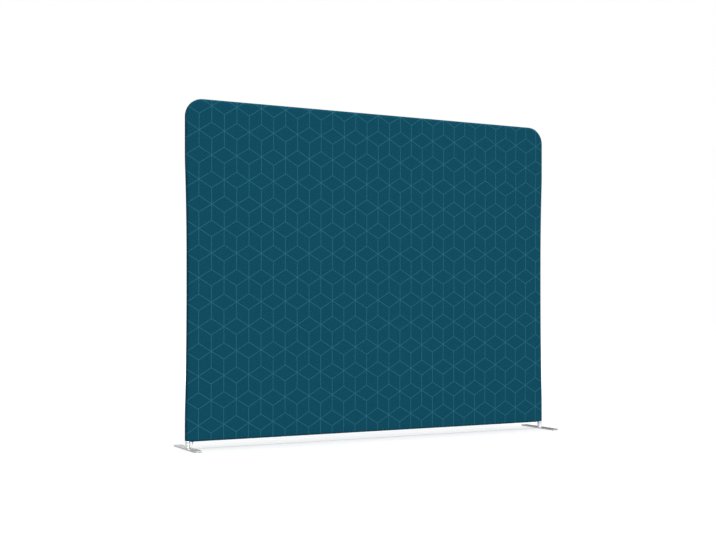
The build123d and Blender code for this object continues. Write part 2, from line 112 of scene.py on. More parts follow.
# %% Define the bow
def side_inset(z):
    """How far the uprights are drawn in towards the middle at a height."""
    if z < middle_z:
        climb, rise = z - bow_start_z, middle_z - middle_straight / 2 - bow_start_z
    else:
        climb, rise = bow_top_z - z, bow_top_z - middle_z - middle_straight / 2
    climb = min(max(climb, 0), rise)
    turn = 2 * atan(side_bow / rise)
    outer, inner = bow_blend / sin(turn), (rise - bow_blend) / sin(turn)
    if climb < bow_blend:
        return outer - sqrt(outer**2 - climb**2)
    return side_bow - inner + sqrt(inner**2 - (rise - climb) ** 2)


def draw_in(bm):
    """Bows the sides of a mesh that was made with straight ones."""
    for v in bm.verts:
        v.co.x *= 1 - side_inset(v.co.z) / side_x


print("inset at mid-height:", round(side_inset(middle_z) / mm, 2), "mm")

# %% [markdown]
# ## Shared helpers
# A new piece is always finished the same way: its bmesh becomes a mesh object at the world's origin,
# shaded smooth, and it rides on the body that carries it.

# %% Define the helpers that finish a piece
def into_scene(bm, name, material):
    """Turns a bmesh into an object of the scene, with one material."""
    mesh = bpy.data.meshes.new(name)
    bm.to_mesh(mesh)
    bm.free()
    mesh.materials.append(material)
    piece = bpy.data.objects.new(name, mesh)
    bpy.context.scene.collection.objects.link(piece)
    return piece


def finish_piece(bm, name, body, material, smooth=True):
    """Makes a bmesh a piece that moves with a body."""
    for face in bm.faces:
        face.smooth = smooth
    piece = into_scene(bm, name, material)
    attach(piece, body)
    print(f"{name}: {len(piece.data.polygons)} faces")
    return piece


def whole(bm):
    """Every vertex, edge and face, as the bmesh operators want them."""
    return bm.verts[:] + bm.edges[:] + bm.faces[:]


def slices(bm, axis, places):
    """Cuts a mesh right through at each place along an axis, which adds rows of vertices there."""
    for place in places:
        point, normal = Vector((0, 0, 0)), Vector((0, 0, 0))
        point[axis] = place
        normal[axis] = 1
        bmesh.ops.bisect_plane(bm, geom=whole(bm), dist=tiny, plane_co=point, plane_no=normal)


def steps(low, high, spacing):
    """Evenly spaced places between two ends, without the ends."""
    count = max(1, round((high - low) / spacing))
    return [low + (high - low) * k / count for k in range(1, count)]


def grow_rim(bm, rows, outward, chosen=lambda edge: True):
    """Extrudes a sheet's free edge, or a chosen part of it, outwards once for each row's width."""
    rim = [e for e in bm.edges if e.is_boundary and chosen(e)]
    for width in rows:
        grown = bmesh.ops.extrude_edge_only(bm, edges=rim)["geom"]
        rim = [g for g in grown if isinstance(g, bmesh.types.BMEdge) and g.is_boundary and chosen(g)]
        for v in {v for e in rim for v in e.verts}:
            v.co += outward(v.co) * width


# %% [markdown]
# ## Building materials out of nodes
# Every finish below is procedural. These few helpers keep each recipe short: one adds a node and wires
# its inputs, the next ones chain the arithmetic, and a recipe is an empty material around a Principled
# shader whose own sockets hold what is the same all over the surface.

# %% Define the material helpers
def srgb(*levels):
    """A colour given by its 0 to 255 screen levels, as the linear values that shaders take."""
    shares = [level / 255 for level in levels]
    return [s / 12.92 if s <= 0.04045 else ((s + 0.055) / 1.055) ** 2.4 for s in shares] + [1.0]


class Nodes:
    """A node tree, with short ways to add to it."""

    def __init__(self, tree):
        self.tree = tree

    def fill(self, socket, value):
        """Gives an input its value, or wires it to another node's output."""
        if isinstance(value, bpy.types.NodeSocket):
            self.tree.links.new(value, socket)
        elif value is not None:
            socket.default_value = value

    def add(self, kind, *inputs, **settings):
        """Adds a node, sets its properties, then fills its inputs in order."""
        node = self.tree.nodes.new(kind)
        for key, value in settings.items():
            setattr(node, key, value)
        for socket, value in zip(node.inputs, inputs):
            self.fill(socket, value)
        return node

    def math(self, operation, *values):
        return self.add("ShaderNodeMath", *values, operation=operation).outputs[0]

    def vector(self, operation, *values):
        node = self.add("ShaderNodeVectorMath", *values, operation=operation)
        return node.outputs["Value" if operation in ("LENGTH", "DOT_PRODUCT") else "Vector"]

    def noise(self, vector, scale, detail=3.0, roughness=0.5):
        node = self.add("ShaderNodeTexNoise", vector)
        node.inputs["Scale"].default_value = scale
        node.inputs["Detail"].default_value = detail
        node.inputs["Roughness"].default_value = roughness
        return node.outputs[0]

    def between(self, share, low, high):
        """A number that runs from low to high as a share runs from 0 to 1."""
        return self.add("ShaderNodeMapRange", share, 0.0, 1.0, low, high).outputs[0]

    def ramp(self, share, start, end, smooth=True):
        """0 below start, 1 above end."""
        kind = "SMOOTHSTEP" if smooth else "LINEAR"
        node = self.add("ShaderNodeMapRange", share, start, end, 0.0, 1.0, interpolation_type=kind)
        return node.outputs[0]

    def wave_height(self, wave, reach):
        """A height from 0 to 1, out of a wave that swings as far below 0 as above it."""
        return self.ramp(wave, -reach, reach, smooth=False)

    def mix(self, share, first, second):
        """A colour between two others."""
        node = self.add("ShaderNodeMix", data_type="RGBA")
        for index, value in ((0, share), (6, first), (7, second)):
            self.fill(node.inputs[index], value)
        return node.outputs[2]


class Recipe(Nodes):
    """A material's node tree, around a Principled shader whose sockets are filled first."""

    def __init__(self, name, sockets):
        self.material = bpy.data.materials.new(name)
        self.material.use_nodes = True
        super().__init__(self.material.node_tree)
        self.shader = self.tree.nodes["Principled BSDF"]
        for socket, value in sockets.items():
            self.fill(self.shader.inputs[socket], value)

    def uv(self, name):
        return self.add("ShaderNodeUVMap", uv_map=name).outputs[0]

    def place(self, stretch=(1, 1, 1)):
        """The object's own coordinates, in metres, stretched along each axis."""
        where = self.add("ShaderNodeTexCoord").outputs["Object"]
        return self.add("ShaderNodeMapping", where, None, None, stretch).outputs[0]

    def colour(self, source):
        self.fill(self.shader.inputs["Base Color"], source)

    def rough(self, source):
        self.fill(self.shader.inputs["Roughness"], source)

    def bump(self, height, depth):
        """Relief as deep as the height's 0 to 1 is meant to stand."""
        node = self.add("ShaderNodeBump")
        node.inputs["Strength"].default_value = 1.0
        node.inputs["Distance"].default_value = depth
        self.fill(node.inputs["Height"], height)
        self.fill(self.shader.inputs["Normal"], node.outputs[0])

    def finished(self):
        print(f"{self.material.name}: {len(self.tree.nodes)} shader nodes")
        return self.material


# %% [markdown]
# ## The camera
# The photograph was taken level, from low on the left, with a lens that is a little long. Its place and
# turn were worked out from the panel's edges and the feet, so the model falls on the same pixels. The
# horizon lies below the middle of the picture, which a small vertical shift gives without tilting.

# %% Place the camera
picture_width = 716
focal_pixels = 1158.2
horizon_row = 305.39
middle_row = 270
camera_place = (-3.4557, -6.2802, 0.8186)
camera_turn = radians(27.85)
film_width = 36.0

camera_data = bpy.data.cameras.new("camera")
camera_data.sensor_width = film_width
camera_data.lens = focal_pixels / picture_width * film_width
camera_data.shift_y = (horizon_row - middle_row) / picture_width
camera = bpy.data.objects.new("camera", camera_data)
camera.location = camera_place
camera.rotation_euler = (radians(90), 0, -camera_turn)
bpy.context.scene.collection.objects.link(camera)
bpy.context.scene.camera = camera
print(f"lens {camera_data.lens:.1f} mm, shift {camera_data.shift_y:.4f}")

# %% [markdown]
# ## The printed knit
# The cover is warp-knitted polyester, printed by heat with a pattern of thin pale lines: a lattice of
# stars whose six spokes meet in threes, which reads as stacked cubes. It is an old tiling, so the
# shader can work it out. The nearest star is found by wrapping the cloth's coordinates in two offset
# boxes and keeping the shorter answer. Within its cell, the spokes are three lines through the middle.
# The pattern reads a UV map that was laid out on the flat cloth, so it goes round the edge as a real
# print does. A second map in metres carries the knit's loops. Where the cloth turns round a tube it is
# darkened with painted shade, which comes in with the distance from the faces.

# %% Make the printed knit
ground_deep, ground_pale = srgb(11, 72, 92), srgb(12, 74, 94)
line_tone = srgb(41, 104, 124)
fleck_tone = srgb(60, 110, 128)
# Painted shade for the rolled rims: a dark tone mixed in where the cloth turns round the tubes.
painted_rim_shade = srgb(4, 22, 30)
rim_shade_share = 0.4
rim_shade_start_y = 2 * mm
face_y = roll_radius - 1 * mm
cloud_scale, fleck_scale = 2.2, 900.0
fleck_range = (0.55, 0.9)
line_half_width = 0.019
line_softness = 0.3
wale_pitch = 0.7 * mm
course_pitch = 0.55 * mm
loop_depth = 0.08 * mm


def star_lines(recipe, cloth):
    """1 on the lines of the star lattice and 0 between them, counted in edges of the cubes."""
    half_cell = (sqrt(3) / 2, 1.5, 1.0)
    low = tuple(-side for side in half_cell)
    offset = recipe.vector("ADD", cloth, (*half_cell[:2], 0.0))
    first = recipe.vector("WRAP", cloth, half_cell, low)
    second = recipe.vector("WRAP", offset, half_cell, low)
    nearer = recipe.math("LESS_THAN", recipe.vector("LENGTH", second), recipe.vector("LENGTH", first))
    choice = recipe.add("ShaderNodeMix", data_type="VECTOR")
    for index, source in ((0, nearer), (4, first), (5, second)):
        recipe.fill(choice.inputs[index], source)
    away = None
    for spoke in (90, 30, 150):
        across = (-sin(radians(spoke)), cos(radians(spoke)), 0.0)
        distance = recipe.math("ABSOLUTE", recipe.vector("DOT_PRODUCT", choice.outputs[1], across))
        away = distance if away is None else recipe.math("MINIMUM", away, distance)
    inner, outer = (line_half_width * (1 + sign * line_softness) for sign in (-1, 1))
    return recipe.math("SUBTRACT", 1.0, recipe.ramp(away, inner, outer))


def knit_loops(recipe, cut):
    """The height of the knit's loops: columns of small arches, each row set off from the next."""
    turns = recipe.vector("MULTIPLY", cut, (2 * pi / wale_pitch, 2 * pi / course_pitch, 0.0))
    parts = recipe.add("ShaderNodeSeparateXYZ", turns)
    column = recipe.math("SINE", parts.outputs[0])
    arch = recipe.math("SINE", recipe.math("ADD", parts.outputs[1], recipe.math("ABSOLUTE", column)))
    return recipe.wave_height(recipe.math("ADD", column, arch), 2.0)


def make_printed_knit():
    recipe = Recipe(
        "printed_knit",
        {"Roughness": 0.9, "Specular IOR Level": 0.04, "Sheen Weight": 0.01, "Sheen Roughness": 0.5},
    )
    cut = recipe.uv("cut")
    cloud = recipe.noise(cut, cloud_scale, 2.0)
    fleck = recipe.noise(cut, fleck_scale, 1.0)
    ground = recipe.mix(cloud, ground_deep, ground_pale)
    inked = recipe.mix(star_lines(recipe, recipe.uv("print")), ground, line_tone)
    on_face = recipe.mix(recipe.ramp(fleck, *fleck_range), inked, fleck_tone)
    # Painted shade: the rims are darkened, fading out towards the flat faces.
    shaded_rim = recipe.mix(rim_shade_share, on_face, painted_rim_shade)
    parts = recipe.add("ShaderNodeSeparateXYZ", recipe.place())
    towards_face = recipe.ramp(recipe.math("ABSOLUTE", parts.outputs[1]), rim_shade_start_y, face_y)
    recipe.colour(recipe.mix(towards_face, shaded_rim, on_face))
    recipe.bump(knit_loops(recipe, cut), loop_depth)
    return recipe.finished()


printed_knit = make_printed_knit()

# %% [markdown]
# ## The cover
# The real cover is cut flat and then pulled over the tubes, so it is made the same way here. A grid's
# single face becomes the flat front, its two upper corners are rounded by a vertex bevel, and bisecting
# planes slice it into small squares. Its free edge is then extruded outwards in rows: that is the cloth
# that will go round the tube. Both UV maps are laid on this flat cut, and only then is the rim rolled.
# This keeps the print true to the cloth, which no projection onto the finished shape would. A few more
# columns stand close together by each side, where the cloth has to bend round the foot of an upright.
# A slice through a rounded corner leaves its new points on straight chords, so they are moved out to the
# true curve before the rim grows.

# %% Cut the cloth flat
slice_spacing = 20 * mm
seam_rows = [4.0, 4.0, 4.0, 4.0, 3.5, 2.6, 1.6, 0.9, 0.53]  # each row's share, finer towards the seam
quarter_turn = roll_radius * pi / 2
slot_edge_y = 4 * mm
slot_reach = roll_radius * acos(slot_edge_y / roll_radius)
row_scale = quarter_turn / (sum(seam_rows) * mm)
corner_segments = 14
chord_depth = 0.3 * mm  # a chord lies less than this inside its curve
foot_columns = [4 * mm, 8 * mm, 11 * mm, 13.5 * mm, 15 * mm, roll_radius]


def flat_cut(low_x, high_x, low_z, high_z, spacing, round_corners=()):
    """One face in the XZ plane, facing the front, with some corners rounded, sliced into squares."""
    bm = bmesh.new()
    bmesh.ops.create_grid(bm, x_segments=1, y_segments=1, size=0.5)
    middle = Vector(((low_x + high_x) / 2, 0, (low_z + high_z) / 2))
    size = Matrix.Diagonal((high_x - low_x, 1, high_z - low_z, 1))
    stand = Matrix.Rotation(radians(90), 4, "X")
    bmesh.ops.transform(bm, matrix=Matrix.Translation(middle) @ size @ stand, verts=bm.verts[:])
    for corner_x, corner_z, radius in round_corners:
        spot = Vector((corner_x, 0, corner_z))
        corner = [v for v in bm.verts if (v.co - spot).length < tiny]
        bmesh.ops.bevel(
            bm, geom=corner, offset=radius, offset_type="OFFSET", segments=corner_segments,
            profile=0.5, affect="VERTICES", material=-1, clamp_overlap=False,
        )
    slices(bm, 0, steps(low_x, high_x, spacing))
    slices(bm, 2, steps(low_z, high_z, spacing))
    return bm


def beyond_side(co):
    """How far and which way a point of the flat cut lies beyond the side, corner or top tube's middle."""
    past = Vector((max(abs(co.x) - bend_x, 0), 0, max(co.z - bend_z, 0)))
    if co.z <= bend_z:
        past.x = max(abs(co.x) - side_x + corner_bend, 0)
    distance = past.length - corner_bend
    past.x *= 1 if co.x > 0 else -1
    return distance, past.normalized() if past.length > 0 else past


def on_bottom(edge):
    """Whether an edge lies along the flat cut's lowest edge, however far that has grown."""
    return edge.calc_length() > tiny and max(v.co.z for v in edge.verts) < roll_z + tiny


def beside_or_above(edge):
    """Whether an edge belongs to the sides, the corners or the top."""
    return max(v.co.z for v in edge.verts) > roll_z + tiny


cloth = flat_cut(
    -side_x, side_x, roll_z, top_z, slice_spacing,
    ((-side_x, top_z, corner_bend), (side_x, top_z, corner_bend)),
)
for vert in cloth.verts:
    short, outwards = beyond_side(vert.co)
    if -chord_depth < short < 0:
        vert.co -= outwards * short
slices(cloth, 0, [side * (side_x - inward) for side in (-1, 1) for inward in foot_columns])
rim_rows = [width * mm * row_scale for width in seam_rows]
down = Vector((0, 0, -slot_reach / quarter_turn))
grow_rim(cloth, rim_rows, lambda co: beyond_side(co)[1], beside_or_above)
grow_rim(cloth, rim_rows, lambda co: down, on_bottom)
print("flat cut:", len(cloth.faces), "faces")

# %% [markdown]
# The print's map counts in edges of the pattern's cubes. The pattern isn't quite square with the cloth
# in the photograph: its rows close up a little towards the right, and its columns stand a little closer
# at the left, where the knit was stretched less. So the map is given by how many edges lie at each of
# the panel's four corners, with two more numbers for that uneven stretch and for a slight lean. Its
# columns stay straight where the sides bow in, because the knit gives way there.

# %% Lay the UV maps on the flat cut
print_left, print_right = -0.895, 26.60
print_top_left, print_top_right = -1.93, -1.28
print_bottom_left, print_bottom_right = 18.96, 19.10
print_spread = 0.73
print_lean = 0.056


def print_place(co):
    """The pattern's coordinates at a point of the flat cut."""
    across = (co.x + half_width) / (2 * half_width)
    down = (cover_high.z - co.z) / (cover_high.z - floor_gap)
    top = print_top_left + (print_top_right - print_top_left) * across
    bottom = print_bottom_left + (print_bottom_right - print_bottom_left) * across
    along = print_left + (print_right - print_left) * across
    along += print_spread * across * (1 - across) + print_lean * down
    return along, -(top + (bottom - top) * down)


def lay_maps(bm):
    """Writes the print's map and the map in metres on every corner of every face."""
    print_map, cut_map = bm.loops.layers.uv.new("print"), bm.loops.layers.uv.new("cut")
    for face in bm.faces:
        for loop in face.loops:
            co = loop.vert.co.copy()
            loop[cut_map].uv = (co.x, co.z)
            co.x *= 1 - side_inset(co.z) / side_x
            loop[print_map].uv = print_place(co)


lay_maps(cloth)
column_pitch = 2 * half_width / (print_right - print_left)
print("pattern column:", round(column_pitch / mm, 1), "mm, from one edge of the cubes to the next")

# %% [markdown]
# Rolling turns how far a point lies beyond the tube's middle into an angle round it. Over each upright's
# foot the cloth can't curl under, because the tube goes on down, so there it follows whichever stands
# out further: the bottom roll or the upright. The last few millimetres before the seam dip, as cloth
# does where two layers are sewn together from inside.

# %% Roll the rim and cut the hem
seam_dip = 0.9 * mm
dip_width = 2.6 * mm
hem_start_x = half_width - 35 * mm
hem_rise = 6.5 * mm


def roll(bm):
    """Curls everything beyond the tubes' middles round them."""
    for v in bm.verts:
        distance, way = beyond_side(v.co)
        under = max(roll_z - v.co.z, 0)
        out_of_face = roll_radius
        flat = v.co.copy()
        if distance > 0:
            angle = min(distance / roll_radius, pi / 2)
            dip = seam_dip * max(0, (distance - quarter_turn + dip_width) / dip_width) ** 2
            edge = flat - way * distance
            v.co = edge + way * (roll_radius - dip) * sin(angle)
            out_of_face = roll_radius * cos(angle)
        if under > 0:
            v.co.z = roll_z - roll_radius * sin(under / roll_radius)
            if distance <= 0:
                out_of_face = roll_radius * cos(under / roll_radius)
                from_tube = side_x - abs(flat.x)
                if from_tube < roll_radius:
                    out_of_face = max(out_of_face, sqrt(roll_radius**2 - from_tube**2))
        v.co.y = -out_of_face


def cut_hem(bm):
    """Cuts the bottom edge up towards each end, where the feet's posts go in."""
    for side in (-1, 1):
        normal = Vector((side * hem_rise, 0, -(half_width - hem_start_x)))
        start = Vector((side * hem_start_x, 0, floor_gap))
        bmesh.ops.bisect_plane(bm, geom=whole(bm), plane_co=start, plane_no=normal, clear_outer=True)


roll(cloth)
cut_hem(cloth)
draw_in(cloth)
print("rolled and hemmed:", len(cloth.faces), "faces")

# %% [markdown]
# Both halves are the same cut. The back one is the front one turned half way round, which also keeps
# its print the right way for someone standing behind it.

# %% Make the front and back of the cover
def add_thickness(piece, thickness, offset=-1.0):
    """Gives a sheet its cloth's thickness, inwards."""
    modifier = piece.modifiers.new("thickness", "SOLIDIFY")
    modifier.thickness = thickness
    modifier.offset = offset
    modifier.use_rim = True


for side, word in ((1, "front"), (-1, "back")):
    half = cloth.copy()
    if side < 0:
        bmesh.ops.rotate(half, cent=(0, 0, 0), matrix=Matrix.Rotation(pi, 3, "Z"), verts=half.verts[:])
    cover_half = finish_piece(half, f"cover_{word}_cloth", "screen", printed_knit)
    add_thickness(cover_half, cloth_thickness)
    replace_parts(cover_half, f"cover_{word}")
cloth.free()

# %% [markdown]
# ## The felt boards
# Four boards of pressed polyester felt fill the bays and take up the sound. Each is a slab whose edges
# are hollowed to lie round the tubes. Cutting the hollow with a boolean would leave long thin triangles,
# so the face is drawn first, and its free edge is extruded back row by row along the hollow. The back is
# the mirror of the front.

# %% Set the boards' sizes
felt_rows = [-12 * mm, -9 * mm, -6 * mm, -3 * mm, 0.0]
channel_radius = tube_radius + 0.5 * mm
rail_z = 60 * mm
joint_gap = 0.5 * mm
pocket_radius = 8 * mm
pocket_floor = tube_radius + 5 * mm
pocket_rows = (-8, -5.5, -3, 0, 3, 5.5, 8)
board_spacing = 40 * mm


def channel_reach(y):
    """How far the hollow lies from the tube's middle line, at a distance from the middle plane."""
    return sqrt(channel_radius**2 - y**2)


def hollow_way(co, reach):
    """Which way a point of a board's edge draws back from the tube that it lies along."""
    distance, outwards = beyond_side(co)
    way = -outwards if abs(distance + reach) < chord_depth else Vector((0, 0, 0))
    if abs(abs(co.x) - reach) < tiny:
        way.x += 1 if co.x > 0 else -1
    if abs(co.z - rail_z - reach) < tiny:
        way.z += 1
    return way


print("the faces stop", round(channel_reach(felt_rows[0]) / mm, 1), "mm from the tubes' middle lines")

# %% [markdown]
# A snap button locks each plug joint, and a rivet holds each coupler in its own tube. Where one stands
# out of a tube, the soft edge of the felt is pressed in, so every such place is listed here.

# %% Say where buttons and rivets stand out of the tubes
from_joint = 35 * mm
corner_leg = 90 * mm
upright_top_z = bend_z - corner_leg
corner_end_x = bend_x - corner_leg
tee_button_x = 70 * mm
corner_button_x = side_x - 39 * mm
stile_low_z, stile_high_z = 135 * mm, 1909 * mm
stile_spots = (stile_low_z, middle_z - from_joint, middle_z + from_joint, stile_high_z)


def fastenings(side):
    """Each place round one side's boards, with the way in which the button or rivet points."""
    inward, up, down = Vector((-side, 0, 0)), Vector((0, 0, 1)), Vector((0, 0, -1))
    spots = [(Vector((side * tee_button_x, 0, top_z)), down)]
    for step in (-from_joint, from_joint):
        spots.append((Vector((side * side_x, 0, upright_top_z + step)), inward))
        spots.append((Vector((side * side_x, 0, middle_z + step)), inward))
        spots.append((Vector((side * (corner_end_x + step), 0, top_z)), down))
    for button_x in (tee_button_x, corner_button_x):
        spots.append((Vector((side * button_x, 0, rail_z)), up))
    if side > 0:
        spots += [(Vector((0, 0, z)), Vector((1, 0, 0))) for z in stile_spots]
    return spots


print(len(fastenings(-1)), "places on the left,", len(fastenings(1)), "on the right")

# %% [markdown]
# Felt is a mat of crimped fibres without any direction. Two scales of noise say that: a soft cloudiness
# of the mat, and the short fibres on it. A little sheen stands for the loose ends that catch the light.

# %% Make the felt
mat_scale, fibre_scale = 35.0, 2500.0
felt_relief = 0.5 * mm


def make_felt():
    recipe = Recipe("grey_felt", {"Roughness": 0.95, "Specular IOR Level": 0.2, "Sheen Weight": 0.25})
    where = recipe.place()
    mat = recipe.noise(where, mat_scale, 4.0, 0.6)
    fibres = recipe.noise(where, fibre_scale, 2.0)
    both = recipe.math("MULTIPLY", mat, fibres)
    recipe.colour(recipe.mix(both, srgb(70, 70, 73), srgb(120, 120, 124)))
    recipe.bump(recipe.math("ADD", recipe.math("MULTIPLY", mat, 0.5), fibres), felt_relief)
    return recipe.finished()


grey_felt = make_felt()

# %% [markdown]
# A board is cut like the cover, and sliced closely wherever a button or a rivet has to sink in. Each
# row of its edge then steps back along the hollow, a dent is pushed in at each fastening, the sides are
# drawn in with the uprights, and the mirror closes it into a solid slab.

# %% Make the boards
def press_pocket(bm, spot, out):
    """Dents the felt's edge where a button or a rivet's head stands out of the tube."""
    for v in bm.verts:
        away = v.co - spot
        depth = away.dot(out)
        across = (away - out * depth).length
        if 0 < depth < pocket_floor and across < pocket_radius:
            v.co += out * (pocket_floor - depth) * (1 - (across / pocket_radius) ** 4)


def make_board(name, side, low_z, high_z, corners=()):
    """A felt board for one bay, between two heights of its front face."""
    reach = channel_reach(felt_rows[0])
    low_x, high_x = sorted((side * reach, side * (side_x - reach)))
    board = flat_cut(low_x, high_x, low_z, high_z, board_spacing, corners)
    places = [spot for spot in fastenings(side) if low_z - 2 * reach < spot[0].z < high_z + 2 * reach]
    for spot, out in places:
        axis = 2 if abs(out.x) > 0 else 0
        slices(board, axis, [spot[axis] + row * mm for row in pocket_rows])
    for v in board.verts:
        distance, outwards = beyond_side(v.co)
        if 0 < -reach - distance < chord_depth:
            v.co -= outwards * (distance + reach)
    for y, next_y in zip(felt_rows, felt_rows[1:]):
        here, back = channel_reach(y), channel_reach(next_y) - channel_reach(y)
        grow_rim(board, [1.0], lambda co: hollow_way(co, here) * back + Vector((0, next_y - y, 0)))
    bmesh.ops.translate(board, verts=board.verts[:], vec=(0, felt_rows[0], 0))
    for spot, out in places:
        press_pocket(board, spot, out)
    draw_in(board)
    bmesh.ops.mirror(board, geom=whole(board), matrix=Matrix.Identity(4), merge_dist=tiny, axis="Y")
    bmesh.ops.recalc_face_normals(board, faces=board.faces[:])
    piece = finish_piece(board, f"{name}_board", "screen", grey_felt, smooth=False)
    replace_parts(piece, f"{name}_felt_board")


face_reach = channel_reach(felt_rows[0])
for side, word in ((-1, "left"), (1, "right")):
    round_corner = ((side * (side_x - face_reach), top_z - face_reach, corner_bend - face_reach),)
    make_board(f"upper_{word}", side, middle_z + joint_gap, top_z - face_reach, round_corner)
    make_board(f"lower_{word}", side, rail_z + face_reach, middle_z - joint_gap)

# %% [markdown]
# ## The zip
# The cover closes with a coil zip along its underside, so that it can be pulled off for washing. The
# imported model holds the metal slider, its pull and the end stops. The two woven tapes and the nylon coil
# are made here. A tape lies flat under the coil, steps up past the cloth's folded edge, and follows the
# cloth's inside, where it is sewn on. Its section is a short line, extruded along the zip.

# %% Make the tapes' section
zip_low, zip_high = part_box("zipper_chain")
coil_end = 1203 * mm
tape_thickness = 0.5 * mm
sewn_radius = roll_radius - cloth_thickness - 0.6 * tape_thickness
under_coil = [(0.15, 42.25), (1.9, 42.25), (3.3, 42.25), (3.62, 42.4)]
step_up = [(3.72, 42.95), (3.82, 43.5), (4.15, 43.78)]
sewn_ys = [y * mm for y in (5, 6.5, 8, 9.5, 11)]
tape_line = [(y * mm, z * mm) for y, z in under_coil + step_up]
tape_line += [(y, roll_z - sqrt(sewn_radius**2 - y**2)) for y in sewn_ys]

# %% [markdown]
# The tape is woven: ribs of warp run along the zip, and the weft crosses them. Two sine waves, one that
# counts the ribs and one slanted over them, give the relief, and the same height darkens the hollows as a
# painted shade. The coil is a smooth filament in the same dye, which only needs an uneven gloss.

# %% Weave the zip's materials
weft_pitch, warp_pitch = 0.5 * mm, 0.4 * mm
weave_relief = 0.08 * mm
wear_scale = 300.0


def make_tape_weave():
    """A dyed polyester tape: fine warp ribs along the zip, crossed by the weft."""
    recipe = Recipe("zip_tape", {"Roughness": 0.8, "Specular IOR Level": 0.3, "Sheen Weight": 0.1})
    turns = recipe.place((2 * pi / weft_pitch, 2 * pi / warp_pitch, 0))
    threads = recipe.add("ShaderNodeSeparateXYZ", turns)
    warp = recipe.math("SINE", threads.outputs[1])
    weft = recipe.math("SINE", recipe.math("ADD", threads.outputs[0], threads.outputs[1]))
    height = recipe.wave_height(recipe.math("ADD", warp, weft), 2.0)
    # Painted shade: the tape is darker where the weave's height is low.
    recipe.colour(recipe.mix(height, srgb(12, 52, 68), srgb(22, 76, 94)))
    recipe.bump(height, weave_relief)
    return recipe.finished()


def make_dyed_nylon():
    """The coil's nylon filament, dyed with the tape and slightly uneven in its gloss."""
    recipe = Recipe("zip_coil_nylon", {"Specular IOR Level": 0.5, "Coat Weight": 0.1})
    worn = recipe.noise(recipe.place(), wear_scale, 3.0)
    recipe.colour(recipe.mix(worn, srgb(12, 56, 72), srgb(20, 72, 90)))
    recipe.rough(recipe.between(worn, 0.25, 0.5))
    return recipe.finished()


zip_tape = make_tape_weave()
zip_coil_nylon = make_dyed_nylon()

# %% [markdown]
# Inside the slider the two tapes stand apart, and the coil's first turns pull them together. So the
# tape's inner edge moves over a few millimetres, and both tapes come from one strip and its mirror.

# %% Make the tapes
parted_half = 1.3 * mm
joined_half = 0.15 * mm
parting_start = -coil_end - 1 * mm
parting_length = 5 * mm


def parting(x):
    """Half the gap between the tapes: open at the slider's end and closed by the coil's first turns."""
    closed = min(max((x - parting_start) / parting_length, 0), 1)
    return parted_half + (joined_half - parted_half) * closed


def strip_along_x(line, low_x, high_x, spacing):
    """Draws an open line across the zip, and extrudes it along the zip in slices."""
    bm = bmesh.new()
    corners = [bm.verts.new((low_x, y, z)) for y, z in line]
    edges = [bm.edges.new(pair) for pair in zip(corners, corners[1:])]
    grown = bmesh.ops.extrude_edge_only(bm, edges=edges)["geom"]
    ends = [g for g in grown if isinstance(g, bmesh.types.BMVert)]
    bmesh.ops.translate(bm, verts=ends, vec=(high_x - low_x, 0, 0))
    slices(bm, 0, steps(low_x, high_x, spacing))
    return bm


tapes = strip_along_x(tape_line, zip_low.x, zip_high.x, slice_spacing)
slices(tapes, 0, [parting_start + share * parting_length for share in (0, 0.5, 1)])
for vert in tapes.verts:
    vert.co.y = max(vert.co.y, parting(vert.co.x))
bmesh.ops.mirror(tapes, geom=whole(tapes), matrix=Matrix.Identity(4), merge_dist=tiny / 10, axis="Y")
zip_tapes = finish_piece(tapes, "zip_tapes", "screen", zip_tape)
add_thickness(zip_tapes, tape_thickness, 0.0)
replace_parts(zip_tapes, "zipper_chain")

# %% [markdown]
# The coil is one filament on each tape, wound into a flat spring whose turns catch between those of the
# other. From outside only the turns' flattened backs show, as a row of small bars that reach across in
# turn from each side. A bar needs very few faces, because there are four thousand of them. One pair
# is made, and the whole row is doubled until it is long enough.

# %% Lay the coil
coil_half_width = 1.9 * mm
coil_height = 0.75 * mm
coil_middle_z = 41.55 * mm
past_middle = 0.5 * mm
turn_rounding = 0.24 * mm
coil_doublings = 11
coil_pitch = 2 * coil_end / 2**coil_doublings


def repeat_along_x(bm, spacing, doublings):
    """Repeats a mesh along the zip by copying all of it again and again, each time twice as far."""
    for k in range(doublings):
        copies = bmesh.ops.duplicate(bm, geom=whole(bm))["geom"]
        moved = [g for g in copies if isinstance(g, bmesh.types.BMVert)]
        bmesh.ops.translate(bm, verts=moved, vec=(spacing * 2**k, 0, 0))


def add_turn(bm, x, side):
    """One turn's back: a bar across the zip, rounded underneath, from its own side past the middle."""
    bar_length = coil_half_width + past_middle
    middle = Vector((x, side * (coil_half_width - bar_length / 2), coil_middle_z))
    size = Matrix.Diagonal((0.5 * coil_pitch, bar_length, coil_height, 1))
    bar = bmesh.ops.create_cube(bm, size=1.0, matrix=Matrix.Translation(middle) @ size)["verts"]
    edges = {e for v in bar for e in v.link_edges if all(u.co.z < middle.z for u in e.verts)}
    lengthwise = [e for e in edges if abs(e.verts[0].co.y - e.verts[1].co.y) > tiny]
    bmesh.ops.bevel(
        bm, geom=lengthwise, offset=turn_rounding, offset_type="OFFSET", segments=1,
        profile=0.5, affect="EDGES", material=-1,
    )


coil = bmesh.new()
add_turn(coil, -coil_end + 0.25 * coil_pitch, -1)
add_turn(coil, -coil_end + 0.75 * coil_pitch, 1)
repeat_along_x(coil, coil_pitch, coil_doublings)
zip_coil = finish_piece(coil, "zip_coil", "screen", zip_coil_nylon, smooth=False)
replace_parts(zip_coil, "zipper_chain")
print("one turn every", round(coil_pitch / mm, 2), "mm")

# %% [markdown]
# ## The sewing
# Two rows of lockstitch hold the cover's folded edges to the tapes, and a row follows each raised hem
# over the feet. A stitch is a short thread that dives into the cloth at both ends, so a small sphere
# drawn out along the row and sunk halfway in says all of it.

# %% Make the thread
twist_along, twist_across = 0.45 * mm, 0.6 * mm
thread_relief = 0.05 * mm


